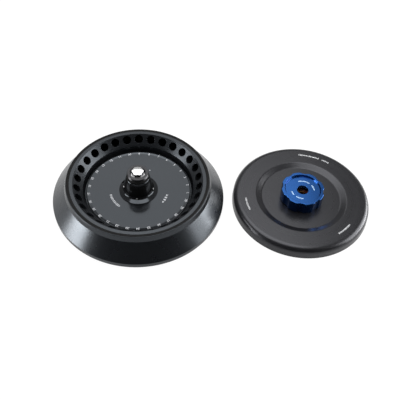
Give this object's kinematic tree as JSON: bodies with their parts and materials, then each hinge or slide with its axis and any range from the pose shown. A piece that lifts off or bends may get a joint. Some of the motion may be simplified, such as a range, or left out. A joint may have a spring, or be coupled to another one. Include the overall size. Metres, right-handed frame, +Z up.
{
  "type": "fixed angle rotor",
  "caption": "Fixed angle centrifuge rotor with tilted microtube bores round a bowl, a hub with a captive clamp bolt, and a screw-down lid with a lobed knob lying beside it.",
  "frame": {"origin": "centre of the shaft bore at the rotor's base plane", "axes": "+Z up along the rotor's axis of rotation; the lid lies beside the rotor towards +X, with its own axis parallel to Z"},
  "size_m": [0.4098, 0.22, 0.0537],
  "materials": {
    "body_black": "machined and black anodised, semi gloss",
    "hub_black": "turned and black anodised, glossy",
    "lid_grey": "turned and dark grey anodised, satin",
    "knob_blue": "turned and blue anodised, satin",
    "steel": "stainless steel, ground",
    "bolt_steel": "stainless steel, polished",
    "collar_steel": "blackened stainless steel, satin",
    "seal_black": "black rubber",
    "seal_red": "red-brown silicone rubber",
    "bronze": "bearing bronze, machined",
    "washer_plastic": "black acetal"
  },
  "bodies": {
    "rotor": {"rotor_body": "body_black", "rim_seal": "seal_black", "hub": "hub_black", "shaft_sleeve": "steel", "hub_collar": "collar_steel", "neck_o_ring": "seal_black", "base_o_ring": "seal_black", "hub_screws": "steel", "drive_pins": "steel"},
    "bolt_carrier": {"bolt_washer": "steel"},
    "bolt": {"clamp_bolt": "bolt_steel", "bolt_snap_ring": "steel"},
    "lid": {"lid_disc": "lid_grey", "lid_bush": "bronze", "bush_o_ring": "seal_black", "slide_washer": "washer_plastic", "thrust_washer": "washer_plastic"},
    "knob_group": {"knob": "knob_blue", "knob_insert": "bronze", "knob_seal": "seal_red", "knob_circlip": "steel"}
  },
  "joints": [
    {"name": "bolt_lift", "type": "slide", "parent": "rotor", "child": "bolt_carrier", "axis": [0, 0, 1], "range_m": [0, 0.0035]},
    {"name": "bolt_turn", "type": "hinge", "parent": "bolt_carrier", "child": "bolt", "pos_m": [0, 0, 0.0446], "axis": [0, 0, 1], "continuous": true},
    {"name": "lid_lift", "type": "slide", "parent": "rotor", "child": "lid", "axis": [0, 0, 1], "range_m": [0, 0.12]},
    {"name": "knob_turn", "type": "hinge", "parent": "lid", "child": "knob_group", "pos_m": [0.2108, 0.006, 0], "axis": [0, 0, 1], "continuous": true}
  ]
}
